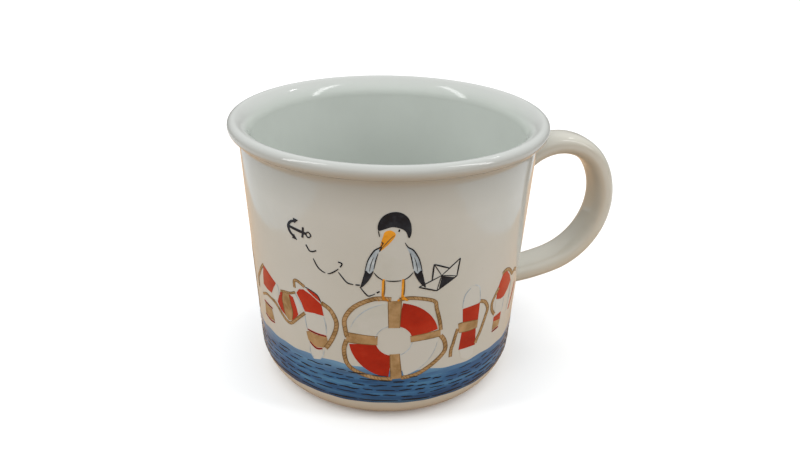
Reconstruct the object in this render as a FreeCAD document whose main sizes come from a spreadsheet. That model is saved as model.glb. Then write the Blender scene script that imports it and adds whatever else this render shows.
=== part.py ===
import FreeCAD, Part
import math
import os

import Sketcher

# A glazed ceramic mug with a rolled rim, a strap handle and a fired-on printed decoration.
# The origin is the centre of the foot ring, on the cup's axis, +Z is up, and the handle points along +X.
# From the clay outwards the pieces are the clay cup, the clay handle with its two rings of luting slip,
# the glaze outside and inside, and one thin film for each colour of the print.

SIZES = {
    # cup, measured over the glaze
    "mug_height": 79.15,
    "rim_radius": 45.0,
    "lip_radius": 1.75,
    "lip_low_radius": 2.25,
    "lip_under": 75.22,
    "wall_low_radius": 39.49,
    "wall_low_height": 9.9,
    "corner_radius": 12.0,
    "crest_run": 0.65,
    "crest_round": 5.9,
    "bore_low_radius": 36.44,
    "bore_low_height": 14.35,
    "floor_height": 6.2,
    "floor_flat_radius": 27.95,
    "floor_round": 8.5,
    # coats and foot
    "glaze": 0.3,
    "clay_lip_under": 75.645,
    "glaze_stop_radius": 34.6,
    "glaze_stop_height": 0.726,
    "clay_stop_radius": 34.42,
    "clay_stop_height": 0.968,
    "foot_inner": 30.4,
    "foot_outer": 32.86,
    "foot_recess": 1.2,
    "recess_radius": 29.4,
    # handle
    "handle_start_x": 37.36,
    "handle_start_z": 57.82,
    "handle_heading": 45.0,
    "handle_lead": 7.0,
    "top_bend": 15.36,
    "top_sweep": 102.1,
    "grip_bend": 22.32,
    "grip_sweep": 104.8,
    "low_bend": 63.3,
    "low_sweep": 12.1,
    "handle_tail": 6.0,
    "strap_top_width": 10.75,
    "strap_low_width": 12.0,
    "strap_thick": 6.2,
    "strap_round": 2.9,
    "slip_radius": 1.6,
    "patch_from": 20.0,
    "patch_side": 58.0,
    "patch_bottom": 13.0,
    # print
    "film": 0.06,
    "sea_low": 7.5,
    "sea_low_radius": 39.144,
    "sea_high": 18.0,
    "ring_height": 30.0,
    "ring_outer": 10.2,
    "ring_hole": 4.8,
}
SEAM_TURN = 180.0  # turned faces start opposite the handle, so that no seam runs through its roots
WALL_TOLERANCE = 0.02  # how far off the wall an edge of the handle's root may be measured
RINGS = 10  # life rings round the cup, none across the handle
RING_FIRST, RING_SPAN = 42.0, 276.0  # where the first one sits from the handle, and the arc they fill
STRAP_HALF = 13.0  # half the angle that a life ring's strap covers, in degrees
STRAP_PROUD = 0.4  # how far a strap stands past the ring
MOTIF_FROM, MOTIF_THROUGH = 34.0, 12.0  # where a motif's outline starts from the axis, and how far it runs
BIRD_AT, BOAT_AT, ANCHOR_AT = -9.8, 7.5, -44.0  # degrees round from -Y, towards +X

doc = FreeCAD.newDocument("mug")
sheet = doc.addObject("Spreadsheet::Sheet", "Sizes")


class Size:
    """A number with the spreadsheet expression that gives it."""

    def __init__(self, value, text):
        self.value = value
        self.text = text

    def joined(self, other, sign, result):
        return Size(result, f"({self.text} {sign} {as_size(other).text})")

    def __add__(self, other):
        return self.joined(other, "+", self.value + as_size(other).value)

    def __sub__(self, other):
        return self.joined(other, "-", self.value - as_size(other).value)

    def __mul__(self, other):
        return self.joined(other, "*", self.value * as_size(other).value)

    def __truediv__(self, other):
        return self.joined(other, "/", self.value / as_size(other).value)

    def root(self):
        return Size(math.sqrt(self.value), f"sqrt({self.text})")


def as_size(number):
    """A bare number as a size, so that the two can be added."""
    return number if isinstance(number, Size) else Size(number, repr(round(number, 6)))


def fill_sheet():
    """Every driving dimension gets a row of the sheet, and comes back as a size."""
    sizes = {}
    for row, (name, value) in enumerate(SIZES.items(), start=1):
        sheet.set(f"A{row}", name)
        sheet.set(f"B{row}", str(value))
        sheet.setAlias(f"B{row}", name)
        sizes[name] = Size(value, f"Sizes.{name}")
    doc.recompute()
    return sizes


S = fill_sheet()


def new_body(name):
    body = doc.addObject("PartDesign::Body", name)
    body.Label = name
    body.AllowCompound = True
    return body


def origin_feature(body, role):
    """One of the body's own origin planes or axes."""
    return next(f for f in body.Origin.OriginFeatures if f.Role == role)


def new_sketch(body, name, plane="XZ_Plane", turn=0.0, out=0.0):
    """A sketch on an origin plane, turned about its own vertical and moved out along its normal."""
    sketch = body.newObject("Sketcher::SketchObject", name)
    sketch.AttachmentSupport = [(origin_feature(body, plane), "")]
    sketch.MapMode = "FlatFace"
    rotation = FreeCAD.Rotation(FreeCAD.Vector(0, 1, 0), turn)
    sketch.AttachmentOffset = FreeCAD.Placement(rotation.multVec(FreeCAD.Vector(0, 0, out)), rotation)
    return sketch


def bind(sketch, constraint, size):
    """Adds a constraint and ties its value to the sheet."""
    index = sketch.addConstraint(constraint)
    sketch.setExpression(f"Constraints[{index}]", size.text)


def pin_point(sketch, geo, end, x, y):
    """Holds a point of the sketch at x, y; a point on an axis is held to that axis."""
    for size, kind, axis in ((x, "DistanceX", -2), (y, "DistanceY", -1)):
        size = as_size(size)
        if abs(size.value) < 1e-9:
            sketch.addConstraint(Sketcher.Constraint("PointOnObject", geo, end, axis))
        else:
            bind(sketch, Sketcher.Constraint(kind, -1, 1, geo, end, size.value), size)


def arc_between(start, end, radius, side):
    """The short arc from start to end, its centre on the left for side 1 and on the right for side -1."""
    middle = (start + end) * 0.5
    along = end - start
    left = FreeCAD.Vector(-along.y, along.x, 0).normalize() * side
    rise = math.sqrt(max(radius**2 - (along.Length / 2) ** 2, 0))
    centre = middle + left * rise
    from_angle = math.atan2(start.y - centre.y, start.x - centre.x)
    to_angle = math.atan2(end.y - centre.y, end.x - centre.x)
    circle = Part.Circle(centre, FreeCAD.Vector(0, 0, 1), radius)
    if side > 0:
        return Part.ArcOfCircle(circle, from_angle, to_angle)
    return Part.ArcOfCircle(circle, to_angle, from_angle)


def outline(sketch, corners):
    """
    A closed outline through the corners, each (x, y) or (x, y, radius, side).
    The last two give the arc that leads on to the next corner, as in arc_between.
    A single corner (x, y, radius) is a full circle.
    """
    if len(corners) == 1:
        full_circle(sketch, *corners[0])
        return
    points = [FreeCAD.Vector(as_size(c[0]).value, as_size(c[1]).value, 0) for c in corners]
    edges = []
    for number, corner in enumerate(corners):
        start = points[number]
        end = points[(number + 1) % len(points)]
        if len(corner) == 2:
            geo = sketch.addGeometry(Part.LineSegment(start, end), False)
            edges.append((geo, 1, 2))
        else:
            radius, side = as_size(corner[2]), corner[3]
            geo = sketch.addGeometry(arc_between(start, end, radius.value, side), False)
            edges.append((geo, 1, 2) if side > 0 else (geo, 2, 1))
    for number, corner in enumerate(corners):
        geo, first, last = edges[number]
        after, after_first, _ = edges[(number + 1) % len(edges)]
        sketch.addConstraint(Sketcher.Constraint("Coincident", geo, last, after, after_first))
        pin_point(sketch, geo, first, corner[0], corner[1])
        if len(corner) > 2:
            radius = as_size(corner[2])
            bind(sketch, Sketcher.Constraint("Radius", geo, radius.value), radius)


def full_circle(sketch, x, y, radius):
    x, y, radius = as_size(x), as_size(y), as_size(radius)
    centre = FreeCAD.Vector(x.value, y.value, 0)
    circle = Part.Circle(centre, FreeCAD.Vector(0, 0, 1), radius.value)
    geo = sketch.addGeometry(circle, False)
    pin_point(sketch, geo, 3, x, y)
    bind(sketch, Sketcher.Constraint("Radius", geo, radius.value), radius)


def turned(name, corners):
    """A body turned about Z from an outline of radius and height."""
    body = new_body(name)
    sketch = new_sketch(body, name + "_outline", turn=SEAM_TURN)
    outline(sketch, corners)
    feature = body.newObject("PartDesign::Revolution", name + "_turned")
    feature.Profile = sketch
    feature.ReferenceAxis = (sketch, ["V_Axis"])
    feature.Angle = 360
    return body


def cone(name, low_radius, low_height, top_radius, top_height):
    """A solid cone about Z between two rings of the wall."""
    solid = doc.addObject("Part::Cone", name)
    solid.setExpression("Radius1", low_radius.text)
    solid.setExpression("Radius2", top_radius.text)
    solid.setExpression("Height", (top_height - low_height).text)
    seam = FreeCAD.Rotation(FreeCAD.Vector(0, 0, 1), SEAM_TURN)
    solid.Placement = FreeCAD.Placement(FreeCAD.Vector(0, 0, low_height.value), seam)
    solid.setExpression("Placement.Base.z", low_height.text)
    return solid


def cut(name, base, tool):
    result = doc.addObject("Part::Cut", name)
    result.Base = base
    result.Tool = tool
    return result


def common(name, base, tool):
    result = doc.addObject("Part::Common", name)
    result.Base = base
    result.Tool = tool
    return result


def fuse(name, *shapes):
    result = doc.addObject("Part::MultiFuse", name)
    result.Shapes = list(shapes)
    return result


# ---- the rings of the wall, over the glaze and on the clay ----

lip_centre_radius = S["rim_radius"] - S["lip_radius"]
lip_centre_height = S["mug_height"] - S["lip_radius"]


def lip_start_radius(low_radius, under):
    """Where the underside of the rim's roll leaves the wall, at the height under."""
    drop = lip_centre_height - under
    return S["rim_radius"] - S["lip_low_radius"] - (low_radius * low_radius - drop * drop).root()


clay_lip = S["lip_radius"] - S["glaze"]
clay_lip_low = S["lip_low_radius"] - S["glaze"]
clay_low = (S["wall_low_radius"] - S["glaze"], S["wall_low_height"])
clay_top = (lip_start_radius(clay_lip_low, S["clay_lip_under"]), S["clay_lip_under"])
glaze_low = (S["wall_low_radius"], S["wall_low_height"])
glaze_top = (lip_start_radius(S["lip_low_radius"], S["lip_under"]), S["lip_under"])
clay_crest = S["mug_height"] - S["glaze"]

# the rim's roll runs on past its crest, then a wider round falls to the bore
crest_rise = (S["lip_radius"] * S["lip_radius"] - S["crest_run"] * S["crest_run"]).root()
wider = S["crest_round"] / S["lip_radius"] - 1
crest_centre_radius = lip_centre_radius + S["crest_run"] * wider
crest_centre_height = lip_centre_height - crest_rise * wider
crest_end = (lip_centre_radius - S["crest_run"], lip_centre_height + crest_rise)
clay_share = clay_lip / S["lip_radius"]
clay_crest_radius = lip_centre_radius - S["crest_run"] * clay_share
clay_crest_end = (clay_crest_radius, lip_centre_height + crest_rise * clay_share)


def clay_bore():
    """The clay cup's inside, from the crest of the rim down to the axis."""
    return [
        (lip_centre_radius, clay_crest, clay_lip, 1),
        (*clay_crest_end, S["crest_round"] - S["glaze"], 1),
        (crest_centre_radius - S["crest_round"] + S["glaze"], crest_centre_height),
        (S["bore_low_radius"] + S["glaze"], S["bore_low_height"], S["floor_round"] + S["glaze"], -1),
        (S["floor_flat_radius"], S["floor_height"] - S["glaze"]),
        (0, S["floor_height"] - S["glaze"]),
    ]


def cup_body():
    """The clay cup: bare foot ring, rounded corner, tapering wall and rolled rim."""
    return turned(
        "cup_body",
        [
            (0, S["foot_recess"]),
            (S["recess_radius"], S["foot_recess"]),
            (S["foot_inner"], 0),
            (S["foot_outer"], 0, S["corner_radius"] - S["glaze"], 1),
            clay_low,
            (*clay_top, clay_lip_low, 1),
            (lip_centre_radius + clay_lip, lip_centre_height, clay_lip, 1),
            *clay_bore(),
        ],
    )


def inner_glaze():
    """The lining of the cup, out to the join on the crest of the rim."""
    return turned(
        "inner_glaze",
        [
            *clay_bore(),
            (0, S["floor_height"]),
            (S["floor_flat_radius"], S["floor_height"], S["floor_round"], 1),
            (S["bore_low_radius"], S["bore_low_height"]),
            (crest_centre_radius - S["crest_round"], crest_centre_height, S["crest_round"], -1),
            (*crest_end, S["lip_radius"], -1),
            (lip_centre_radius, S["mug_height"]),
        ],
    )


def wall_glaze():
    """The coat over the wall and the rim, before the handle's coat is joined to it."""
    return turned(
        "wall_glaze",
        [
            (S["glaze_stop_radius"], S["glaze_stop_height"], S["corner_radius"], 1),
            glaze_low,
            (*glaze_top, S["lip_low_radius"], 1),
            (S["rim_radius"], lip_centre_height, S["lip_radius"], 1),
            (lip_centre_radius, S["mug_height"]),
            (lip_centre_radius, clay_crest, clay_lip, -1),
            (lip_centre_radius + clay_lip, lip_centre_height, clay_lip_low, -1),
            clay_top,
            (*clay_low, S["corner_radius"] - S["glaze"], -1),
            (S["clay_stop_radius"], S["clay_stop_height"]),
        ],
    )


def handle_stations():
    """The strap's centreline: a straight lead, three tangent arcs that turn clockwise, a straight tail."""
    steps = [(S["handle_lead"], None)]
    steps += [(S[f"{bend}_bend"], S[f"{bend}_sweep"]) for bend in ("top", "grip", "low")]
    steps.append((S["handle_tail"], None))
    place = FreeCAD.Vector(S["handle_start_x"].value, S["handle_start_z"].value, 0)
    heading = math.radians(S["handle_heading"].value)
    stations = [(place, heading)]
    for size, sweep in steps:
        if sweep is None:
            place = place + FreeCAD.Vector(math.cos(heading), math.sin(heading), 0) * size.value
        else:
            centre = place + to_the_right(heading) * size.value
            heading -= math.radians(sweep.value)
            place = centre - to_the_right(heading) * size.value
        stations.append((place, heading))
    return steps, stations


def to_the_right(heading):
    return FreeCAD.Vector(math.sin(heading), -math.cos(heading), 0)


def bend_arc(station, radius, sweep):
    """A clockwise arc that leaves a station along its heading."""
    place, heading = station
    centre = place + to_the_right(heading) * radius
    first = heading + math.pi / 2
    circle = Part.Circle(centre, FreeCAD.Vector(0, 0, 1), radius)
    return Part.ArcOfCircle(circle, first - math.radians(sweep), first)


def handle_path(body):
    """The centreline as a sketch, held by its start, its heading, its radii and its sweeps."""
    sketch = new_sketch(body, body.Name + "_path")
    steps, stations = handle_stations()
    ends = []
    for station, following, (size, sweep) in zip(stations, stations[1:], steps):
        if sweep is None:
            edge = Part.LineSegment(station[0], following[0])
            ends.append((sketch.addGeometry(edge, False), 1, 2))
        else:
            edge = bend_arc(station, size.value, sweep.value)
            ends.append((sketch.addGeometry(edge, False), 2, 1))
    pin_point(sketch, ends[0][0], 1, S["handle_start_x"], S["handle_start_z"])
    for number, (size, sweep) in enumerate(steps):
        geo, first, _ = ends[number]
        if number:
            before, _, last = ends[number - 1]
            sketch.addConstraint(Sketcher.Constraint("Tangent", before, last, geo, first))
        else:
            bind_angle(sketch, geo, S["handle_heading"])
        if sweep is None:
            bind(sketch, Sketcher.Constraint("Distance", geo, size.value), size)
        else:
            bind(sketch, Sketcher.Constraint("Radius", geo, size.value), size)
            bind_angle(sketch, geo, sweep)
    return sketch


def bind_angle(sketch, geo, degrees):
    """A line's heading, or the sweep of an arc."""
    constraint = Sketcher.Constraint("Angle", geo, math.radians(degrees.value))
    index = sketch.addConstraint(constraint)
    sketch.setExpression(f"Constraints[{index}]", f"{degrees.text} * 1 deg")


def strap_section(body, name, station, width, thick, corner):
    """The strap's section across the centreline at a station: a rectangle with rounded corners."""
    place, heading = station
    sketch = new_sketch(body, name, "XY_Plane")
    across = FreeCAD.Rotation(FreeCAD.Vector(0, 1, 0), 90 - math.degrees(heading))
    sketch.AttachmentOffset = FreeCAD.Placement(FreeCAD.Vector(place.x, 0, place.y), across)
    x, y = thick * 0.5, width * 0.5
    minus_x, minus_y = thick * -0.5, width * -0.5
    outline(
        sketch,
        [
            (minus_x + corner, minus_y),
            (x - corner, minus_y, corner, 1),
            (x, minus_y + corner),
            (x, y - corner, corner, 1),
            (x - corner, y),
            (minus_x + corner, y, corner, 1),
            (minus_x, y - corner),
            (minus_x, minus_y + corner, corner, 1),
        ],
    )
    return sketch


def strap(name, coat):
    """The bent strap, its section less the coat's thickness, and wider towards its lower end."""
    body = new_body(name)
    stations = handle_stations()[1]
    path = handle_path(body)
    sections = []
    for end, width in ((0, "strap_top_width"), (-1, "strap_low_width")):
        sections.append(
            strap_section(
                body,
                f"{name}_{width}",
                stations[end],
                S[width] - coat * 2,
                S["strap_thick"] - coat * 2,
                S["strap_round"] - coat,
            )
        )
    doc.recompute()
    pipe = body.newObject("PartDesign::AdditivePipe", name + "_bent")
    pipe.Profile = sections[0]
    pipe.Spine = path
    pipe.Transformation = "Multisection"
    pipe.Sections = [sections[1]]
    return body


def wall_patch(name, wall):
    """The stretch of the solid wall that carries the handle."""
    block = doc.addObject("Part::Box", name + "_block")
    for side in ("Length", "Width", "Height"):
        block.setExpression(side, "Sizes.patch_side")
    block.setExpression("Placement.Base.x", "Sizes.patch_from")
    block.setExpression("Placement.Base.y", "-Sizes.patch_side / 2")
    block.setExpression("Placement.Base.z", "Sizes.patch_bottom")
    return common(name, wall, block)


def lies_on(edge, low, top):
    """Whether an edge runs along the wall between two rings, clear of the patch's own edges."""
    (low_radius, low_height), (top_radius, top_height) = low, top
    slope = (top_radius - low_radius).value / (top_height - low_height).value
    for share in (0, 0.5, 1):
        place = edge.valueAt(edge.FirstParameter + share * (edge.LastParameter - edge.FirstParameter))
        expected = low_radius.value + slope * (place.z - low_height.value)
        if abs(math.hypot(place.x, place.y) - expected) > WALL_TOLERANCE:
            return False
        if abs(place.y) > S["strap_low_width"].value:
            return False
    return True


def root_blend(name, joined, rings, radius, roots):
    """A fillet of the given radius round the upper root, the lower root or both."""
    blend = doc.addObject("Part::Fillet", name)
    blend.Base = joined
    middle = (S["patch_bottom"] + S["patch_side"] * 0.5).value
    edges = []
    for number, edge in enumerate(joined.Shape.Edges, start=1):
        root = "upper" if edge.BoundBox.Center.z > middle else "lower"
        if root in roots and lies_on(edge, *rings):
            edges.append((number, radius.value, radius.value))
    blend.Edges = edges
    return blend


def handle_pieces():
    """The clay strap cut to the wall, the slip round each root, and the coat over all three."""
    clay_wall = cone("clay_wall", *clay_low, *clay_top)
    coat_wall = cone("coat_wall", *glaze_low, *glaze_top)
    strap_clay = strap("strap_clay", S["glaze"])
    strap_coat = strap("strap_coat", as_size(0))
    clay_joined = fuse("clay_joined", wall_patch("clay_patch", clay_wall), strap_clay)
    coat_joined = fuse("coat_joined", wall_patch("coat_patch", coat_wall), strap_coat)
    doc.recompute()
    handle = cut("handle", strap_clay, clay_wall)
    slips = []
    for root in ("upper", "lower"):
        blend = root_blend(f"{root}_blend", clay_joined, (clay_low, clay_top), S["slip_radius"], [root])
        off_wall = cut(f"{root}_blend_off_wall", blend, clay_wall)
        slips.append(cut(f"{root}_slip", off_wall, strap_clay))
    coat_radius = S["slip_radius"] - S["glaze"]
    coat = root_blend("coat_blend", coat_joined, (glaze_low, glaze_top), coat_radius, ["upper", "lower"])
    core = root_blend("clay_blend", clay_joined, (clay_low, clay_top), S["slip_radius"], ["upper", "lower"])
    handle_glaze = cut("handle_glaze", cut("coat_off_wall", coat, coat_wall), core)
    outer_glaze = cut("outer_glaze", wall_glaze(), core)
    return [handle, *slips, handle_glaze, outer_glaze]


# ---- the print: one film for each colour, on the wall's glaze ----


def wall_radius(height):
    """The glazed wall's radius at a height."""
    (low_radius, low_height), (top_radius, top_height) = glaze_low, glaze_top
    return low_radius + (top_radius - low_radius) * (height - low_height) / (top_height - low_height)


def sector(middle, half, inner, outer, height):
    """A piece of a flat ring, centred on the sketch's vertical at a height; angles in degrees."""

    def corner(radius, degrees):
        angle = math.radians(degrees)
        return radius * math.cos(angle), height + radius * math.sin(angle)

    first, last = middle - half, middle + half
    return [
        corner(inner, first),
        (*corner(outer, first), outer, 1),
        corner(outer, last),
        (*corner(inner, last), inner, -1),
    ]


def ring_quarters(first):
    """Two opposite quarters of a life ring, between its straps."""
    half = 45 - STRAP_HALF
    hole, outer, height = S["ring_hole"], S["ring_outer"], S["ring_height"]
    return [sector(first + turn, half, hole, outer, height) for turn in (0, 180)]


def ring_straps():
    """The four straps round a life ring, a little prouder than the ring itself."""
    inner, outer = S["ring_hole"] - STRAP_PROUD, S["ring_outer"] + STRAP_PROUD
    return [sector(turn, STRAP_HALF, inner, outer, S["ring_height"]) for turn in (0, 90, 180, 270)]


def bar(x, low, high, width):
    return [(x - width / 2, low), (x + width / 2, low), (x + width / 2, high), (x - width / 2, high)]


def padded(body, name, outlines, turn):
    """Closed outlines on a plane that faces the wall, run out through it."""
    sketch = new_sketch(body, name + "_outline", turn=turn, out=MOTIF_FROM)
    for corners in outlines:
        outline(sketch, corners)
    pad = body.newObject("PartDesign::Pad", name + "_pad")
    pad.Profile = sketch
    pad.Length = MOTIF_THROUGH
    return pad


def ring_pattern(name, outlines):
    """One life ring's outlines, repeated round the cup from one side of the handle to the other."""
    body = new_body(name)
    pad = padded(body, name + "_ring", outlines, 90 - RING_FIRST)
    doc.recompute()
    pattern = body.newObject("PartDesign::PolarPattern", name + "_round")
    pattern.Originals = [pad]
    pattern.Axis = (origin_feature(body, "Z_Axis"), [""])
    pattern.Angle = RING_SPAN
    pattern.Reversed = True
    pattern.Occurrences = RINGS
    body.Tip = pattern
    return body


def motif(name, outlines, turn):
    """Outlines that appear once."""
    body = new_body(name)
    padded(body, name, outlines, turn)
    return body


def tern_parts():
    """A standing tern with a black crown: its outlines by colour, about its own vertical."""
    body = [(0, 47.9, 6.0, 1), (0, 59.5, 6.0, 1)]
    crown = [(3.9, 62.4, 3.95, 1), (-3.9, 62.4, 9.0, -1)]
    wings = [[(-8.0, 45.5), (-5.0, 57.0, 9.0, 1)], [(8.0, 45.5, 9.0, 1), (5.0, 57.0)]]
    bill = [(-3.6, 56.2), (-0.2, 59.9), (-1.2, 60.6)]
    legs = [bar(x, 42.5, 48.8, 0.8) for x in (-2.5, 2.5)]
    return {"cream": [body], "navy": [crown], "grey": wings, "orange": [bill, *legs]}


def boat():
    """A folded-paper boat, riding up to one side."""
    return [(-5.4, 46.0), (-3.2, 43.1), (3.6, 44.6), (5.4, 49.4), (1.9, 48.1), (0.3, 53.2), (-1.9, 46.9)]


def anchor():
    """A small anchor: a shank, a stock and a curved arm."""
    arm = [(-2.6, 57.4, 3.4, 1), (2.6, 57.4), (1.9, 57.9, 2.4, -1), (-1.9, 57.9)]
    return [arm, bar(0, 57.2, 60.4, 0.6), [(0, 61.1, 0.6)]]


def print_films():
    """Each colour's outlines, cut to a thin film on the wall."""
    film_wall = cone(
        "film_wall",
        glaze_low[0] + S["film"],
        glaze_low[1],
        glaze_top[0] + S["film"],
        glaze_top[1],
    )
    film = cut("film_sleeve", film_wall, doc.getObject("coat_wall"))
    tern = tern_parts()
    cream = fuse(
        "cream_motifs",
        ring_pattern("cream_quarters", ring_quarters(135)),
        motif("tern_breast", tern["cream"], BIRD_AT),
        motif("boat", [boat()], BOAT_AT),
    )
    navy = fuse(
        "navy_motifs",
        motif("tern_crown", tern["navy"], BIRD_AT),
        motif("anchor", anchor(), ANCHOR_AT),
    )
    return [
        common("red_print", ring_pattern("red_quarters", ring_quarters(45)), film),
        common("cream_print", cream, film),
        common("tan_print", ring_pattern("tan_straps", ring_straps()), film),
        common("navy_print", navy, film),
        common("grey_print", motif("tern_wings", tern["grey"], BIRD_AT), film),
        common("orange_print", motif("tern_bill_and_legs", tern["orange"], BIRD_AT), film),
        sea_print(),
    ]


def sea_print():
    """The sea: a band of blue round the foot of the wall, from its rounded corner up."""
    high, film = S["sea_high"], S["film"]
    return turned(
        "sea_print",
        [
            (S["sea_low_radius"], S["sea_low"], S["corner_radius"], 1),
            glaze_low,
            (wall_radius(high), high),
            (wall_radius(high) + film, high),
            (glaze_low[0] + film, glaze_low[1], S["corner_radius"] + film, -1),
            (S["sea_low_radius"] + film, S["sea_low"]),
        ],
    )


def check_and_export(nodes):
    """Refuses a failed feature or a bad solid, then writes one file per piece."""
    for thing in doc.Objects:
        if {"Invalid", "Error"} & set(thing.State):
            raise RuntimeError(f"{thing.Name} failed: {thing.State}")
    for node in nodes:
        if node.Shape.isNull() or not node.Shape.isValid():
            raise RuntimeError(f"{node.Label} has no valid shape")
    os.makedirs("parts", exist_ok=True)
    for node in nodes:
        node.Shape.exportStep(f"parts/{node.Label}.step")
        print(f"{node.Label:14} {len(node.Shape.Solids):3} solids {node.Shape.Volume:12.2f} mm3")


nodes = [cup_body(), inner_glaze(), *handle_pieces(), *print_films()]
doc.recompute()
check_and_export(nodes)
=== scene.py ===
import math
import random

import bpy
import numpy as np
from mathutils import Matrix, Vector, geometry


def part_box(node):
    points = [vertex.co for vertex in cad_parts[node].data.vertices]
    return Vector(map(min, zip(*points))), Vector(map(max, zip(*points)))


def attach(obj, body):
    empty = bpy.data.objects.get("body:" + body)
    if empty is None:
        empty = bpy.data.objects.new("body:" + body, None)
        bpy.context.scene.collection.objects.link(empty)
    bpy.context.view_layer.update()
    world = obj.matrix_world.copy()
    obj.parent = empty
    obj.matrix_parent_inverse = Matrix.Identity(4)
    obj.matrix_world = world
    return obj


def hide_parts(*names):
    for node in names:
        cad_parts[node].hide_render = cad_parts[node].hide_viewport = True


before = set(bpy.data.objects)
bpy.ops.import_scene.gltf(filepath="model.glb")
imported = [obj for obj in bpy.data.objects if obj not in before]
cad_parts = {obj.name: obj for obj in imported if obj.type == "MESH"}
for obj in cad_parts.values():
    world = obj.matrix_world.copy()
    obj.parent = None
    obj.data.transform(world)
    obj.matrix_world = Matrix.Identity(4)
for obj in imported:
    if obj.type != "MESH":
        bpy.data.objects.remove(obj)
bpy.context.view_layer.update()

MM = 0.001

# ---- the cup's profile
coat_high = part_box("outer_glaze")[1]
TOP = coat_high.z / MM  # the rim's top
NOSE = coat_high.y / MM  # the rolled rim's largest radius
COAT = 0.3  # glaze thickness
SUNK = 0.05  # how far a skin's hidden side reaches into what it lies on
LIP, LIP_LOW = 1.75, 2.25  # the rim's roll, above and below its nose
LIP_R, LIP_Z = NOSE - LIP, TOP - LIP
LIP_LOW_R = NOSE - LIP_LOW
CREST_TILT, CREST = 21.8, 5.9  # how far the roll runs on past the top, and the wider round after it
WALL_R, WALL_Z, SLOPE = 39.49, 9.9, 0.041475  # the outer wall's lower end, and how it widens upwards
LEAN = math.atan(SLOPE)
CORNER_R, CORNER_Z, CORNER = 27.5, 10.4, 12.0  # the round below the wall
STOP_ANGLE = -math.degrees(math.acos((34.6 - CORNER_R) / CORNER))  # where the glaze stops above the foot
FLOOR_Z, BASIN_R, BASIN = 6.2, 27.95, 8.5
BORE_LEAN = math.atan(0.04139)
UNDER_LIP = 3.0  # the hollow where the wall runs out under the rim
STOP_ROUND = 0.55  # the small round edge with which the coat ends on the bare foot
HALVINGS = 60


def wall_radius(z):
    if z >= WALL_Z:
        return WALL_R + SLOPE * (z - WALL_Z)
    return CORNER_R + math.sqrt(CORNER**2 - (CORNER_Z - z) ** 2)


def wall_normal(z):
    """The wall's outward normal at height z as (outwards, up)."""
    if z >= WALL_Z:
        return math.cos(LEAN), -math.sin(LEAN)
    return (wall_radius(z) - CORNER_R) / CORNER, (z - CORNER_Z) / CORNER


def on_wall(azimuth, x, z, lift=0.0):
    """The point x round from azimuth at height z, lifted off the wall, and the wall's normal there."""
    radius = wall_radius(z)
    angle = math.radians(azimuth) + x / radius
    out, up = wall_normal(z)
    side = Vector((math.cos(angle), math.sin(angle), 0))
    normal = side * out + Vector((0, 0, up))
    return side * radius + Vector((0, 0, z)) + normal * lift, normal


def arc(centre, radius, start, end, step=3.0):
    """Points on an arc between two angles in degrees, ends included."""
    count = max(2, math.ceil(abs(end - start) / step))
    angles = [math.radians(start + (end - start) * i / count) for i in range(count + 1)]
    return [(centre[0] + radius * math.cos(a), centre[1] + radius * math.sin(a)) for a in angles]


def run(start, end, parts):
    """Points along a straight run without its ends; the first and last are close to them."""
    near = 0.25 / math.dist(start, end)
    spots = [near] + [i / parts for i in range(1, parts)] + [1 - near]
    return [tuple(a + (b - a) * t for a, b in zip(start, end)) for t in spots]


def lefts(line, closed=False):
    """The unit direction to the left of a line's travel, at each of its points."""
    count = len(line)
    found = []
    for i in range(count):
        before = line[i - 1] if closed or i else line[0]
        after = line[(i + 1) % count] if closed or i < count - 1 else line[-1]
        dx, dz = after[0] - before[0], after[1] - before[1]
        length = math.hypot(dx, dz) or 1.0
        found.append((-dz / length, dx / length))
    return found


def beside(line, distances):
    """The same line moved to the left of its travel, each point by its own distance."""
    return [(x + u * d, z + v * d) for (x, z), (u, v), d in zip(line, lefts(line), distances)]


def halve(low, high, past):
    """The spot between low and high from which past(spot) holds."""
    for _ in range(HALVINGS):
        middle = (low + high) / 2
        if past(middle):
            high = middle
        else:
            low = middle
    return (low + high) / 2


# ---- making meshes
ROUND = 240  # corners in a turned skin's circle
ON_AXIS = 1e-6
GRID = 1.3  # the largest step in a filled print shape, so that it follows the wall
LANE = 1.4  # the widest lane in a print band
THINNEST = 0.04  # a band's width where it ends
FACING_OUT = 0.7  # how well a face has to agree with the wall's normal to be shaded by it


def linked(name, data):
    """A new object in the scene."""
    made = bpy.data.objects.new(name, data)
    bpy.context.scene.collection.objects.link(made)
    return made


def piece(name, node, material, verts, faces, sharp=40):
    """A visible piece from points in millimetres; creases start at the angle sharp, if it has one."""
    mesh = bpy.data.meshes.new(name)
    mesh.from_pydata([Vector(v) * MM for v in verts], [], faces)
    mesh.validate()
    mesh.polygons.foreach_set("use_smooth", [True] * len(mesh.polygons))
    if sharp:
        mesh.set_sharp_from_angle(angle=math.radians(sharp))
    made = linked(name, mesh)
    mesh.materials.append(material)
    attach(made, "root")
    if node:
        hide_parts(node)
    return made


def lathe(name, node, material, loop):
    """Turns a closed loop of (radius, height), anticlockwise, round the axis into a closed mesh."""
    verts, rows = [], []
    for radius, height in loop:
        if radius < ON_AXIS:
            rows.append([len(verts)] * ROUND)
            verts.append((0, 0, height))
            continue
        rows.append(list(range(len(verts), len(verts) + ROUND)))
        for i in range(ROUND):
            a = math.tau * i / ROUND
            verts.append((radius * math.cos(a), radius * math.sin(a), height))
    faces = []
    for row, nxt in zip(rows, rows[1:] + rows[:1]):
        for i in range(ROUND):
            j = (i + 1) % ROUND
            corners = list(dict.fromkeys((row[i], row[j], nxt[j], nxt[i])))
            if len(corners) > 2:
                faces.append(corners)
    piece(name, node, material, verts, faces)


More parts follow.
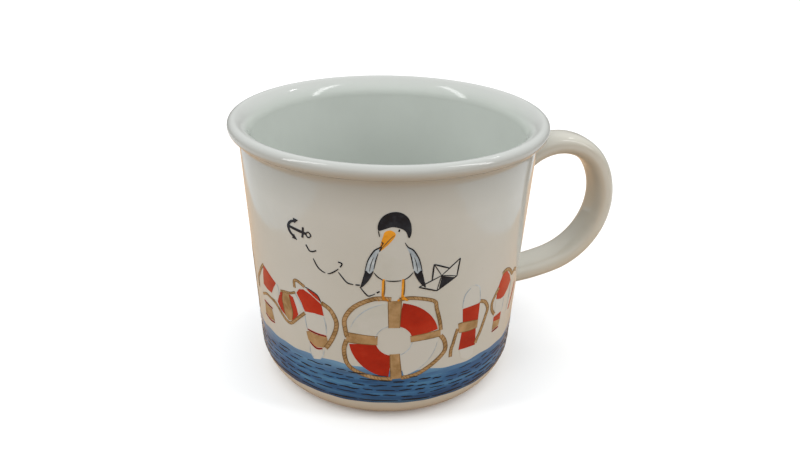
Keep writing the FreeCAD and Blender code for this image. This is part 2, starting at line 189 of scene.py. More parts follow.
def smooth_line(points, per, closed=False):
    """A Catmull-Rom line through points, each stretch in so many parts."""
    count = len(points)
    line = []
    for i in range(count if closed else count - 1):
        near = [(i + k) % count if closed else min(max(i + k, 0), count - 1) for k in (-1, 0, 1, 2)]
        a, b, c, d = (Vector(points[k]) for k in near)
        for j in range(per):
            t = j / per
            spot = b * 2 + (c - a) * t + (a * 2 - b * 5 + c * 4 - d) * t * t
            line.append(tuple((spot + (b * 3 - a - c * 3 + d) * t**3) * 0.5))
    return line if closed else line + [tuple(points[-1])]


class Film:
    """Flat shapes of one colour laid on the cup's wall, each a closed slab as thin as a print."""

    def __init__(self):
        self.verts, self.faces, self.normals = [], [], []

    def slab(self, azimuth, flat, faces, lift):
        """Adds flat faces, anticlockwise in (x, z), as a thin closed slab that follows the wall."""
        base, count = len(self.verts), len(flat)
        for height in (lift, -SUNK):
            for x, z in flat:
                point, normal = on_wall(azimuth, x, z, height)
                self.verts.append(point)
                self.normals.append(normal)
        edges = {}
        for face in faces:
            self.faces.append([base + i for i in face])
            self.faces.append([base + count + i for i in reversed(face)])
            for a, b in zip(face, face[1:] + face[:1]):
                edges[(a, b)] = True
        for a, b in edges:
            if (b, a) not in edges:
                self.faces.append([base + b, base + a, base + count + a, base + count + b])

    def shape(self, azimuth, outline, lift):
        """An outline of any form, filled with triangles small enough to follow the wall."""
        edge = []
        for a, b in zip(outline, outline[1:] + outline[:1]):
            parts = max(1, math.ceil(math.dist(a, b) / GRID))
            for i in range(parts):
                edge.append((a[0] + (b[0] - a[0]) * i / parts, a[1] + (b[1] - a[1]) * i / parts))
        area = sum(a[0] * b[1] - b[0] * a[1] for a, b in zip(edge, edge[1:] + edge[:1]))
        if area < 0:
            edge.reverse()
        inner = []
        low, high = np.min(edge, axis=0), np.max(edge, axis=0)
        for x in np.arange(low[0] + GRID / 2, high[0], GRID):
            for z in np.arange(low[1] + GRID / 2, high[1], GRID):
                if inside((x, z), edge) and min(math.dist((x, z), e) for e in edge) > GRID * 0.35:
                    inner.append((x, z))
        ring = [(i, (i + 1) % len(edge)) for i in range(len(edge))]
        found = geometry.delaunay_2d_cdt([Vector(p) for p in edge + inner], ring, [], 1, 1e-6)
        flat = [tuple(v) for v in found[0]]
        faces = []
        for face in found[2]:
            a, b, c = (flat[i] for i in face[:3])
            turn = (b[0] - a[0]) * (c[1] - a[1]) - (b[1] - a[1]) * (c[0] - a[0])
            faces.append(list(face) if turn > 0 else list(reversed(face)))
        self.slab(azimuth, flat, faces, lift)

    def strip(self, azimuth, line, width, lift, taper=0.0, closed=False):
        """A band along a line; taper is how much thinner it gets at both ends."""
        count = len(line)
        lanes = max(1, math.ceil(width / LANE))
        flat = []
        for i, ((x, z), (u, v)) in enumerate(zip(line, lefts(line, closed))):
            from_middle = 2 * i / (count - 1) - 1
            across = max(width * (1 - taper * from_middle**2), THINNEST)
            for k in range(lanes + 1):
                side = across * (0.5 - k / lanes)
                flat.append((x + u * side, z + v * side))
        faces = []
        for i in range(count if closed else count - 1):
            a, b = i * (lanes + 1), (i + 1) % count * (lanes + 1)
            for k in range(lanes):
                faces.append([a + k, a + k + 1, b + k + 1, b + k])
        self.slab(azimuth, flat, faces, lift)

    def make(self, name, node, slot, material):
        """Turns what has been laid into one piece, with the wall's own normals on its outer faces."""
        made = piece(name, node, material, self.verts, self.faces, sharp=None)
        mesh = made.data
        loops = [None] * len(mesh.loops)
        for polygon in mesh.polygons:
            outer = self.normals[polygon.vertices[0]].dot(polygon.normal) > FACING_OUT
            for i in polygon.loop_indices:
                normal = self.normals[mesh.loops[i].vertex_index] if outer else polygon.normal
                loops[i] = tuple(normal)
        mesh.normals_split_custom_set(loops)


def inside(point, outline):
    x, z = point
    hit = False
    for (ax, az), (bx, bz) in zip(outline, outline[1:] + outline[:1]):
        if (az > z) != (bz > z) and x < (bx - ax) * (z - az) / (bz - az) + ax:
            hit = not hit
    return hit


# ---- materials
class Nodes:
    """A short way to write a node tree."""

    def __init__(self, name):
        self.material = bpy.data.materials.new(name)
        self.material.use_nodes = True
        self.tree = self.material.node_tree
        self.shader = self.tree.nodes["Principled BSDF"]
        self.place = self.add("ShaderNodeTexCoord").outputs["Object"]

    def add(self, kind, settings=None, **inputs):
        node = self.tree.nodes.new(kind)
        for key, value in (settings or {}).items():
            setattr(node, key, value)
        for key, value in inputs.items():
            self.join(node.inputs[key], value)
        return node

    def join(self, socket, value):
        if isinstance(value, bpy.types.NodeSocket):
            self.tree.links.new(value, socket)
        else:
            socket.default_value = value

    def stretched(self, x, y, z):
        node = self.add("ShaderNodeMapping", Vector=self.place)
        node.inputs["Scale"].default_value = (x, y, z)
        return node.outputs["Vector"]

    def noise(self, scale, detail=3, rough=0.5, place=None):
        node = self.add("ShaderNodeTexNoise", Vector=place or self.place, Scale=scale)
        node.inputs["Detail"].default_value = detail
        node.inputs["Roughness"].default_value = rough
        return node.outputs["Fac"]

    def ramp(self, factor, *stops):
        node = self.add("ShaderNodeValToRGB", Fac=factor)
        line = node.color_ramp.elements
        while len(line) < len(stops):
            line.new(0.5)
        for element, (spot, colour) in zip(line, stops):
            element.position = spot
            element.color = (*colour, 1) if isinstance(colour, tuple) else (colour, colour, colour, 1)
        return node.outputs["Color"]

    def blend(self, factor, a, b):
        node = self.add("ShaderNodeMix", {"data_type": "RGBA"})
        self.join(node.inputs["Factor"], factor)
        self.join(node.inputs[6], a if isinstance(a, bpy.types.NodeSocket) else (*a, 1))
        self.join(node.inputs[7], b if isinstance(b, bpy.types.NodeSocket) else (*b, 1))
        return node.outputs[2]

    def times(self, a, b):
        node = self.add("ShaderNodeMath", {"operation": "MULTIPLY"})
        self.join(node.inputs[0], a)
        self.join(node.inputs[1], b)
        return node.outputs[0]

    def height(self):
        return self.add("ShaderNodeSeparateXYZ", Vector=self.place).outputs["Z"]

    def span(self, value, low, high, to_low=0, to_high=1):
        node = self.add("ShaderNodeMapRange", Value=value)
        for end, start, result in (("Min", low, to_low), ("Max", high, to_high)):
            node.inputs[f"From {end}"].default_value = start
            node.inputs[f"To {end}"].default_value = result
        return node.outputs["Result"]

    def bump(self, *layers):
        """Bump from (height socket, depth in metres) layers, one over another."""
        normal = None
        for socket, depth in layers:
            node = self.add("ShaderNodeBump", Height=socket, Distance=depth)
            node.inputs["Strength"].default_value = 1.0
            if normal:
                self.join(node.inputs["Normal"], normal)
            normal = node.outputs["Normal"]
        self.join(self.shader.inputs["Normal"], normal)


def srgb(r, g, b):
    """A colour from 0 to 255 as a screen shows it, made linear by the sRGB rule."""
    return tuple(((c / 255 + 0.055) / 1.055) ** 2.4 if c > 10 else c / 255 / 12.92 for c in (r, g, b))


GLAZE_IOR = 1.5
GLAZE, PRINT = (0.06, 0.12, 0.5), (0.07, 0.14, 0.22)  # roughness from and to, and mirror strength
WAVE_DEPTH, DIMPLE_DEPTH = 0.00035, 0.000006  # metres
UNDER_RIM_PAINTED_SHADE = srgb(150, 154, 152)  # painted shade under the rolled rim, a darker grey
UNDER_RIM_SHADE_LOW, UNDER_RIM_SHADE_HIGH = 0.064, 0.0735  # metres up, where the painted shade under the rim begins and is full
# metres up, where the painted shade on the rim's top begins and is full
RIM_SHADE_LOW, RIM_SHADE_HIGH = (TOP - 3.6) * MM, (TOP - 0.6) * MM


def finish(nodes, colour, sheen):
    """Gives a fired surface its colour, an uneven sheen, slow waves and fine dimples."""
    smooth, rough, mirror = sheen
    nodes.join(nodes.shader.inputs["Base Color"], colour)
    cloud = nodes.noise(300, 4)
    nodes.join(nodes.shader.inputs["Roughness"], nodes.span(cloud, 0.3, 0.7, smooth, rough))
    nodes.shader.inputs["IOR"].default_value = GLAZE_IOR
    nodes.shader.inputs["Specular IOR Level"].default_value = mirror
    nodes.bump((nodes.noise(45, 2), WAVE_DEPTH), (nodes.noise(900, 2), DIMPLE_DEPTH))


def glaze_material(name, base, shade, rim, painted_shade=0, specks=0.5):
    """Glaze with faint clouds, rare small specks, a greyer rim tone that is painted shade on the rim's
    top, and a band of painted shade under the rim.
    """
    nodes = Nodes(name)
    cloud = nodes.noise(38, 4, 0.55)
    colour = nodes.blend(nodes.span(cloud, 0.35, 0.68), base, shade)
    # painted shade: a height band under the rolled rim blends towards a darker grey
    pool = nodes.span(nodes.height(), UNDER_RIM_SHADE_LOW, UNDER_RIM_SHADE_HIGH, 0, painted_shade)
    colour = nodes.blend(pool, colour, UNDER_RIM_PAINTED_SHADE)
    # painted shade: the rim's top blends to a darker grey tone
    colour = nodes.blend(nodes.span(nodes.height(), RIM_SHADE_LOW, RIM_SHADE_HIGH), colour, rim)
    dots = nodes.add("ShaderNodeTexVoronoi", Vector=nodes.place, Scale=210).outputs["Distance"]
    rare = nodes.span(nodes.noise(120, 1), 0.66, 0.7)
    speck = nodes.times(nodes.span(dots, 0.05, 0.02), rare)
    colour = nodes.blend(nodes.times(speck, specks), colour, srgb(120, 98, 74))
    finish(nodes, colour, GLAZE)
    return nodes.material


def clay_material(name):
    """Bare fired clay: a rough buff body with fine dark grit."""
    nodes = Nodes(name)
    cloud = nodes.noise(60, 5, 0.6)
    buff, pale, brown = srgb(206, 190, 166), srgb(222, 208, 188), srgb(196, 176, 150)
    colour = nodes.ramp(cloud, (0.3, buff), (0.55, pale), (0.75, brown))
    grit = nodes.noise(2600, 2)
    colour = nodes.blend(nodes.span(grit, 0.66, 0.74), colour, srgb(150, 124, 96))
    nodes.join(nodes.shader.inputs["Base Color"], colour)
    nodes.join(nodes.shader.inputs["Roughness"], nodes.span(grit, 0.3, 0.7, 0.62, 0.85))
    nodes.bump((nodes.noise(300, 4), 0.00005), (grit, 0.00003))
    return nodes.material


def print_material(name, light, mid, dark, wash=55, grain=0.22):
    """Brushed colour under the glaze: pale and dark washes and a fine grain."""
    nodes = Nodes(name)
    pool = nodes.noise(wash, 5, 0.62)
    colour = nodes.ramp(pool, (0.36, dark), (0.5, mid), (0.66, light))
    fine = nodes.noise(1400, 3, 0.6)
    colour = nodes.blend(nodes.span(fine, 0.35, 0.75, 0, grain), colour, dark)
    finish(nodes, colour, PRINT)
    return nodes.material


def sea_material():
    """Brushed blue in level streaks, darker in pools and low down, paler along its top."""
    nodes = Nodes("sea_blue")
    strokes = nodes.noise(60, 5, 0.6, nodes.stretched(1, 1, 9))
    deep, blue, pale = srgb(32, 68, 108), srgb(50, 98, 144), srgb(80, 134, 172)
    colour = nodes.ramp(strokes, (0.34, deep), (0.5, blue), (0.68, pale))
    pool = nodes.noise(26, 3, 0.5)
    colour = nodes.blend(nodes.span(pool, 0.5, 0.72, 0, 0.5), colour, srgb(34, 70, 116))
    low = nodes.span(nodes.height(), 0.011, 0.0078, 0, 0.6)
    colour = nodes.blend(low, colour, srgb(20, 46, 84))
    high = nodes.span(nodes.height(), 0.0155, 0.0205, 0, 0.55)
    colour = nodes.blend(high, colour, srgb(122, 160, 192))
    finish(nodes, colour, PRINT)
    return nodes.material


# one glaze in two copies: the inner copy is lighter and cooler than the outer, which is painted light
# inside the cup
WARM, WARM_SHADE = srgb(187, 190, 187), srgb(182, 185, 180)
INNER_PAINTED_LIGHT, INNER_PAINTED_LIGHT_CLOUD = srgb(196, 201, 195), srgb(192, 197, 191)
# a darker grey copy of the glaze: painted shade on the rim's top
RIM_PAINTED_SHADE = srgb(175, 177, 173)
outer_look = glaze_material("warm_glaze", WARM, WARM_SHADE, RIM_PAINTED_SHADE, painted_shade=0.5)
inner_look = glaze_material("inner_painted_light_glaze", INNER_PAINTED_LIGHT, INNER_PAINTED_LIGHT_CLOUD, RIM_PAINTED_SHADE, specks=0.25)
clay_look = clay_material("fired_clay")
# the handle's copy of the glaze is warmer than the wall's, painted warm bounce light; its arch also takes
# the painted shade of the band under the rim's height
handle_look = glaze_material(
    "handle_glaze", srgb(189, 186, 175), srgb(185, 181, 169), srgb(182, 181, 172), painted_shade=0.15)
# each colour's material name, its light, middle and dark wash, and how small its washes are
PAINTS = {
    "red": ("signal_red", (176, 48, 26), (160, 34, 14), (142, 24, 8), 55),
    "tan": ("rope_tan", (174, 144, 106), (158, 130, 92), (136, 108, 70), 260),
    "brown": ("rope_brown", (132, 106, 70), (116, 90, 56), (98, 74, 44), 260),
    "orange": ("bill_orange", (228, 160, 52), (214, 146, 38), (178, 112, 26), 200),
    "grey": ("wing_grey", (184, 196, 204), (164, 178, 188), (134, 148, 160), 300),
    "navy": ("ink_navy", (34, 42, 52), (16, 25, 37), (8, 15, 25), 400),
}
looks = {
    colour: print_material(name, srgb(*light), srgb(*mid), srgb(*dark), wash)
    for colour, (name, light, mid, dark, wash) in PAINTS.items()
}
looks["cream"] = print_material("print_cream", WARM, WARM, WARM_SHADE, grain=0.044)
looks["sea"] = sea_material()


# ---- glazes on the cup
def under_lip():
    """Centre of the hollow that touches both the wall and the rolled rim, as (radius, height)."""
    def radius(z):
        return wall_radius(z) + UNDER_LIP / math.cos(LEAN)

    def too_high(z):
        return math.hypot(radius(z) - LIP_LOW_R, z - LIP_Z) <= LIP_LOW + UNDER_LIP

    z = halve(LIP_Z - 2 * UNDER_LIP, LIP_Z, too_high)
    return radius(z), z


def outer_profile():
    """From the glaze's stop above the foot, up the wall and over the rim to where the two glazes meet."""
    line = arc((CORNER_R, CORNER_Z), CORNER, STOP_ANGLE, -math.degrees(LEAN))
    hollow = under_lip()
    wall_end = (hollow[0] - UNDER_LIP * math.cos(LEAN), hollow[1] + UNDER_LIP * math.sin(LEAN))
    line += run(line[-1], wall_end, 40)
    meet = math.degrees(math.atan2(LIP_Z - hollow[1], LIP_LOW_R - hollow[0]))
    line += arc(hollow, UNDER_LIP, 180 - math.degrees(LEAN), meet, 5)
    line += arc((LIP_LOW_R, LIP_Z), LIP_LOW, meet - 180, 0)[1:]
    line += arc((LIP_R, LIP_Z), LIP, 0, 90)[1:]
    return line


profile = outer_profile()
travelled = [0.0]
for a, b in zip(profile, profile[1:]):
    travelled.append(travelled[-1] + math.dist(a, b))
drops = []
for gone in travelled:
    fall = 1 - min(gone / STOP_ROUND, 1)
    drops.append(COAT * (1 - math.sqrt(1 - fall * fall)))
outer_back = beside(profile, [COAT + SUNK] * len(profile))
outer_loop = beside(profile, drops) + outer_back[::-1]
lathe("outer_glaze_skin", "outer_glaze", outer_look, outer_loop)


def inner_profile():
    """From where the two glazes meet, down the bore and round the basin to the middle of the floor."""
    bore = math.degrees(BORE_LEAN)
    line = arc((LIP_R, LIP_Z), LIP, 90, 90 + CREST_TILT)
    tilt = math.radians(CREST_TILT)
    centre = (line[-1][0] + CREST * math.sin(tilt), line[-1][1] - CREST * math.cos(tilt))
    line += arc(centre, CREST, 90 + CREST_TILT, 180 + bore)[1:]
    basin = arc((BASIN_R, FLOOR_Z + BASIN), BASIN, -bore, -90)
    line += run(line[-1], basin[0], 40) + basin
    line += run(basin[-1], (0.0, FLOOR_Z), 12)[:-1] + [(0.0, FLOOR_Z)]
    return line


lining = inner_profile()
lining_back = beside(lining, [COAT + SUNK] * len(lining))
lining_back[-1] = (0.0, FLOOR_Z - COAT - SUNK)
lathe("inner_glaze_skin", "inner_glaze", inner_look, lining + lining_back[::-1])

# ---- the coat over the handle
LEAD, TAIL = 7.0, 6.0  # the straight ends of the centre line
BENDS = ((15.36, 102.1), (22.32, 104.8), (63.3, 12.1))  # each arc's radius, and its sweep in degrees
START, HEADING = (37.36, 57.82), 45.0
THICK, TOP_WIDTH, LOW_WIDTH, SQUARE = 6.2, 10.75, 12.0, 2.6  # SQUARE is 2 for an oval section
FINE = 1440  # steps with which a section is measured before it is evenly divided
FILLET, FILLET_REACH, FILLET_PARTS = 1.5, 4.2, 12
AROUND, ALONG = 96, 170
BEYOND = 4.0  # how far past its ends the handle is searched for the wall
SEARCH, SEARCH_PARTS = 16.0, 64
HIDDEN_END = -0.25  # where the coat's hidden side stops, inside the wall

STRETCHES = [(LEAD, 0.0)]
STRETCHES += [(math.radians(sweep) * radius, sweep) for radius, sweep in BENDS]
STRETCHES += [(TAIL, 0.0)]
HANDLE_LENGTH = sum(length for length, _ in STRETCHES)


def along(s):
    """The handle's centre line at length s: (x, z) and its heading in radians."""
    x, z = START
    heading = math.radians(HEADING)
    left = s
    for i, (length, sweep) in enumerate(STRETCHES):
        last = i == len(STRETCHES) - 1
        step = left if last or left < length else length
        if sweep and step > 0:
            turn = math.radians(sweep) * step / length
            radius = length / math.radians(sweep)
            x += radius * (math.sin(heading) - math.sin(heading - turn))
            z -= radius * (math.cos(heading) - math.cos(heading - turn))
            heading -= turn
        else:
            x += step * math.cos(heading)
            z += step * math.sin(heading)
        left -= step
        if left <= 0:
            break
    return x, z, heading


def section(width, thick):
    """The strap's outline, evenly divided: (across, out, normal across, normal out)."""
    a, b = width / 2, thick / 2
    fine = []
    for i in range(FINE):
        t = math.tau * i / FINE
        c, s = math.cos(t), math.sin(t)
        k = (abs(c / a) ** SQUARE + abs(s / b) ** SQUARE) ** (-1 / SQUARE)
        fine.append((k * c, k * s))
    steps = [math.dist(p, q) for p, q in zip(fine, fine[1:] + fine[:1])]
    total, gone, want, out = sum(steps), 0.0, 0.0, []
    for p, step in zip(fine, steps):
        if gone >= want - 1e-9 and len(out) < AROUND:
            nx = math.copysign(abs(p[0] / a) ** (SQUARE - 1) / a, p[0])
            nz = math.copysign(abs(p[1] / b) ** (SQUARE - 1) / b, p[1])
            size = math.hypot(nx, nz)
            out.append((p[0], p[1], nx / size, nz / size))
            want += total / AROUND
        gone += step
    return out


TOP_SECTION, LOW_SECTION = section(TOP_WIDTH, THICK), section(LOW_WIDTH, THICK)


def rail(s, k, depth=0.0):
    """A point of rail k at length s, its outward normal and the handle's direction."""
    x, z, heading = along(s)
    t = min(max(s / HANDLE_LENGTH, 0.0), 1.0)
    t = t * t * (3 - 2 * t)
    across, out, nx, nz = ((1 - t) * p + t * q for p, q in zip(TOP_SECTION[k], LOW_SECTION[k]))
    across, out = across - nx * depth, out - nz * depth
    up = Vector((-math.sin(heading), 0, math.cos(heading)))
    side = Vector((0, -1, 0))
    point = Vector((x, 0, z)) + side * across + up * out
    return point, (side * nx + up * nz).normalized(), Vector((math.cos(heading), 0, math.sin(heading)))


def off_wall(point):
    return math.hypot(point.x, point.y) - wall_radius(point.z)


def wall_hit(k, low_end, depth=0.0, reach=0.0):
    """The length at which rail k leaves the wall, from the handle's top end or its low end."""
    def clear(s):
        return off_wall(rail(s, k, depth)[0]) > reach

    spots = np.linspace(0, SEARCH, SEARCH_PARTS + 1) - BEYOND
    if low_end:
        spots = HANDLE_LENGTH - spots
    last = spots[0]
    for s in spots:
        if clear(s):
            break
        last = s
    return halve(last, s, clear)


def snapped(point, lift=0.0):
    """A point moved level, out or in, to the wall or a little off it."""
    radius = wall_radius(point.z) + lift
    size = math.hypot(point.x, point.y)
    return Vector((point.x * radius / size, point.y * radius / size, point.z))


def root_fillet(k, low_end):
    """Points from rail k down onto the wall, and the length at which they start."""
    hit = wall_hit(k, low_end)
    sign = -1 if low_end else 1
    point, normal, way = rail(hit, k)
    outward = Vector((point.x, point.y, 0)).normalized() * math.cos(LEAN) - Vector((0, 0, math.sin(LEAN)))
    spread = (normal - outward * normal.dot(outward)).normalized()
    angle = math.acos(max(-1, min(1, (way * sign).dot(spread))))
    reach = min(FILLET / math.tan(angle / 2), FILLET_REACH)
    begin = hit + sign * reach
    first, _, way = rail(begin, k)
    far = halve(0.0, reach * 1.6 + 1.0, lambda d: off_wall(first - way * sign * d) <= 0)
    corner = first - way * sign * far
    last = snapped(corner + spread * min(far, FILLET_REACH))
    weight = math.sin(angle / 2)
    points = []
    for i in range(1, FILLET_PARTS + 1):
        t = i / FILLET_PARTS
        b0, b1, b2 = (1 - t) ** 2, 2 * t * (1 - t) * weight, t * t
        points.append((first * b0 + corner * b1 + last * b2) / (b0 + b1 + b2))
    # the skirt's edge dips under the wall's own glaze
    for out, lift in ((0.2, -0.02), (0.5, -0.12)):
        points.append(snapped(last + spread * out, lift))
    return begin, points


def evenly(begin, end, k, depth=0.0):
    """Points of rail k at even steps from one length to another."""
    return [rail(begin + (end - begin) * i / ALONG, k, depth)[0] for i in range(ALONG + 1)]


verts = []
for k in range(AROUND):
    begin, top_end = root_fillet(k, False)
    end, low_end = root_fillet(k, True)
    hidden_begin = wall_hit(k, False, COAT, HIDDEN_END)
    hidden_end = wall_hit(k, True, COAT, HIDDEN_END)
    loop = top_end[::-1] + evenly(begin, end, k) + low_end + evenly(hidden_end, hidden_begin, k, COAT)
    verts += loop
ring_size = len(loop)
faces = []
for k in range(AROUND):
    a, b = k * ring_size, (k + 1) % AROUND * ring_size
    for i in range(ring_size):
        j = (i + 1) % ring_size
        faces.append((a + i, b + i, b + j, a + j))
piece("handle_glaze_skin", "handle_glaze", handle_look, verts, faces, sharp=55)

# ---- the print
# how far each colour's face stands above the wall
LIFT = {
    "sea": 0.03, "cream": 0.048, "red": 0.048, "grey": 0.062,
    "tan": 0.066, "orange": 0.075, "brown": 0.082, "navy": 0.098,
}
films = {colour: Film() for colour in LIFT}
draw = random.Random(7)


def stroke(colour, azimuth, points, width, taper=0.0, rise=0.0, per=5):
    """A brush line through points; taper is how much thinner it gets at both ends."""
    films[colour].strip(azimuth, smooth_line(points, per), width, LIFT[colour] + rise, taper)


def patch(colour, azimuth, outline, per=0, rise=0.0):
    """A filled shape; per is how many parts round off each stretch of its outline."""
    line = smooth_line(outline, per, closed=True) if per else outline
    films[colour].shape(azimuth, line, LIFT[colour] + rise)


# the sea: a wavy brushed band with broken rows of dark strokes
SEA_TOPS = (
    19.2, 19.6, 20.3, 20.0, 18.6, 17.6, 17.3, 18.4, 18.0, 18.2, 18.6, 17.7, 18.3, 19.8, 20.6, 20.2)
SEA_LOW, SEA_RADIUS = 7.5, 40
SEA_COLUMNS, SEA_ROWS = 360, 10
STROKE_ROWS = 6


def wave(azimuth, size, turns, start=0):
    return size * math.sin(math.radians(azimuth * turns + start))


def sea_top(azimuth):
    spot = ((azimuth + 180) / 360 * len(SEA_TOPS)) % len(SEA_TOPS)
    i, t = int(spot), spot % 1
    t = t * t * (3 - 2 * t)
    a, b = SEA_TOPS[i], SEA_TOPS[(i + 1) % len(SEA_TOPS)]
    return a + (b - a) * t + wave(azimuth, 0.22, 11) + wave(azimuth, 0.14, 29, 40)


flat, faces = [], []
for i in range(SEA_COLUMNS):
    azimuth = i * 360 / SEA_COLUMNS
    low = SEA_LOW + wave(azimuth, 0.1, 13) + wave(azimuth, 0.06, 31)
    a, b = i * (SEA_ROWS + 1), (i + 1) % SEA_COLUMNS * (SEA_ROWS + 1)
    for j in range(SEA_ROWS + 1):
        z = low + (sea_top(azimuth) - low) * j / SEA_ROWS
        flat.append((math.radians(azimuth) * wall_radius(z), z))
    for j in range(SEA_ROWS):
        faces.append([a + j, b + j, b + j + 1, a + j + 1])
films["sea"].slab(0, flat, faces, LIFT["sea"])

# the top row is finer and has gaps, and the lowest row's strokes are long
for row in range(STROKE_ROWS):
    azimuth = draw.uniform(0, 10)
    while azimuth < 360:
        depth = (row + 0.5) / STROKE_ROWS
        length = draw.uniform(2.0, 6.0) if row < STROKE_ROWS - 1 else draw.uniform(5.0, 12.0)
        z = SEA_LOW + 0.3 + (sea_top(azimuth) - SEA_LOW - 1.6) * (1 - depth) + draw.uniform(-0.35, 0.35)
        rise, bow = draw.uniform(-0.25, 0.25), draw.uniform(-0.12, 0.12)
        width = draw.uniform(0.22, 0.5) * (1.0 if row else 0.8)
        points = [(0.0, z), (length * 0.33, z + rise / 3 + bow), (length * 0.66, z + rise * 0.66 - bow)]
        points.append((length, z + rise))
        if row or draw.random() < 0.55:
            stroke("navy", azimuth, points, width, 0.75, rise=draw.uniform(-0.012, 0.012), per=3)
        azimuth += math.degrees(length / SEA_RADIUS) + draw.uniform(0.6, 2.4)


# life rings
STRAPS = 90, 179, -86, 5  # where the top, left, low and right strap lie, in degrees
HOLE, OUTER = 4.85, 12.1


def placed(cx, cz, turn):
    """A function that turns points by some degrees and moves them to (cx, cz)."""
    c, s = math.cos(math.radians(turn)), math.sin(math.radians(turn))
    return lambda *points: [(cx + u * c - v * s, cz + u * s + v * c) for u, v in points]


def face_on_ring(azimuth, cx, cz, turn=0):
    """A life ring seen from the front, with four quarters, four straps and ropes between them."""
    at = placed(cx, cz, turn)

    def spot(radius, angle):
        a = math.radians(angle)
        return at((radius * math.cos(a), radius * math.sin(a)))[0]

    def round_part(radius, start, end, steps=10):
        return [spot(radius, start + (end - start) * i / steps) for i in range(steps + 1)]

    top, left, low, right = STRAPS
    quarters = (
        ("cream", top + 10, left - 10), ("red", left + 10, low + 350),
        ("cream", low + 10, right - 7), ("red", right + 7, top - 10))
    for colour, start, end in quarters:
        patch(colour, azimuth, round_part(OUTER, start, end, 16) + round_part(HOLE, start, end)[::-1])
        if colour == "cream":
            stroke("grey", azimuth, round_part(OUTER - 0.1, start + 6, end - 6), 0.26, 0.5, per=1)
            stroke("grey", azimuth, round_part(HOLE + 0.1, start, end), 0.24, 0.4, per=1)
    for angle, half_width in ((top, 1.6), (left, 1.5), (low, 1.4), (right, 1)):
        ends = []
        for radius, w in ((HOLE - 0.35, half_width * 0.92), (OUTER + 0.7, half_width * 1.08)):
            wing = math.degrees(w / radius)
            ends.append((spot(radius, angle - wing), spot(radius, angle + wing)))
        (a0, a1), (b0, b1) = ends
        patch("tan", azimuth, [a0, b0, b1, a1])
        stroke("brown", azimuth, [a0, b0], 0.22, 0.3, per=4)
        stroke("brown", azimuth, [a1, b1], 0.22, 0.3, per=4)
    # each rope from strap to strap: its width, then its points as (degrees, radius)
    ropes = (
        (1.25, (top + 4, 13.2), (top + 22, 14.2), (top + 45, 14.6), (left - 24, 14.4), (left - 8, 13),
         (left, 12.4)),
        (1.25, (left + 4, 12.6), (left + 18, 14), (left + 36, 15.2), (left + 52, 14.4),
         (low + 338, 13.2), (low + 355, 12.6)),
        (1.25, (low + 6, 12.6), (low + 26, 13.3), (low + 50, 14.2), (low + 66, 15.2), (right - 13, 14.2),
         (right - 4, 12.8)),
        (1, (right + 4, 12.9), (right + 16, 13.2), (right + 34, 14.4), (right + 44, 15.6),
         (top - 20, 14.2), (top - 5, 13.2)),
    )
    for width, *rope in ropes:
        rope_line(azimuth, [spot(radius, angle) for angle, radius in rope], width)


ROPE_EDGE, ROPE_TWIST = 0.44, 0.4  # dark edges and twists, out from its middle as a part of its width
TWIST_EVERY = 0.9


def rope_line(azimuth, points, width):
    """A tan rope with a dark line along both edges and slanting dark twists across it."""
    line = smooth_line(points, 5)
    films["tan"].strip(azimuth, line, width, LIFT["tan"] + 0.008)
    for side in (1, -1):
        edge = beside(line, [side * width * ROPE_EDGE] * len(line))
        films["brown"].strip(azimuth, edge, 0.2, LIFT["brown"])
    gone = 0.0
    for a, b in zip(line, line[1:]):
        step = math.dist(a, b)
        gone += step
        if gone < TWIST_EVERY:
            continue
        gone = 0.0
        u, v = (b[0] - a[0]) / step, (b[1] - a[1]) / step
        across, slant = width * ROPE_TWIST, 0.3
        twist = [(a[0] - v * across - u * slant, a[1] + u * across - v * slant),
                 (a[0] + v * across + u * slant, a[1] - u * across + v * slant)]
        films["brown"].strip(azimuth, twist, 0.16, LIFT["brown"] + 0.006)


class Drawing:
    """A drawing's place on the wall: filled shapes, brush lines and ropes in millimetres from there."""

    def __init__(self, azimuth, drop=0):
        self.azimuth, self.drop = azimuth, drop

    def at(self, points):
        return [(x, z - self.drop) for x, z in points]

    def fill(self, colour, *points):
        patch(colour, self.azimuth, self.at(points))

    def line(self, colour, width, *points, rise=0):
        stroke(colour, self.azimuth, self.at(points), width, 0.4, rise)

    def rope(self, width, *points):
        rope_line(self.azimuth, self.at(points), width)

    def seam(self, *points):
        """The dark line along a strap's edge."""
        self.line("red", 0.62, *points, rise=0.026)
        self.line("navy", 0.24, *points)


def edge_on_ring(azimuth, drop=0):
    """A life ring seen from its edge, with one strap and a rope on each side."""
    ring = Drawing(azimuth, drop)
    ring.fill("cream", (-3, 36), (-3, 38.5), (-2.5, 40.5), (-1.5, 42), (-0.5, 42.5), (1, 42),
              (2, 41.5), (2.5, 40.5), (3, 36.5))
    ring.line("grey", 0.3, (-3, 36.5), (-3, 38.5), (-2.5, 40.5), (-1, 42))
    ring.line("grey", 0.3, (0.5, 42.5), (2, 41.5), (2.5, 40), (3, 36.5))
    ring.fill("red", (-3, 36), (3, 36), (3, 33.5), (3, 30.5), (-2.5, 31.5))
    ring.fill("tan", (-4, 31.5), (-2.5, 31.5), (3, 30.5), (3, 28), (0, 28), (-3.5, 28.5))
    ring.fill("red", (-2.5, 28.5), (2.5, 28), (3, 22), (-3, 22.5))
    ring.fill("cream", (-2.5, 22), (2.5, 21.5), (2.5, 19), (0.5, 18), (-2, 19.5))
    ring.line("brown", 0.24, (-4, 31.5), (-2.5, 31.5), (3, 30.5))
    ring.line("brown", 0.24, (-3.5, 28.5), (0, 28), (3, 28))
    ring.rope(1.05, (3, 36.5), (5, 35.5), (6.5, 33), (6, 30.5), (4.5, 26),
              (3.5, 24), (3, 22.5))
    ring.rope(0.95, (-4, 30), (-4.5, 28), (-5, 25.5), (-5.5, 23.5), (-5.5, 21))


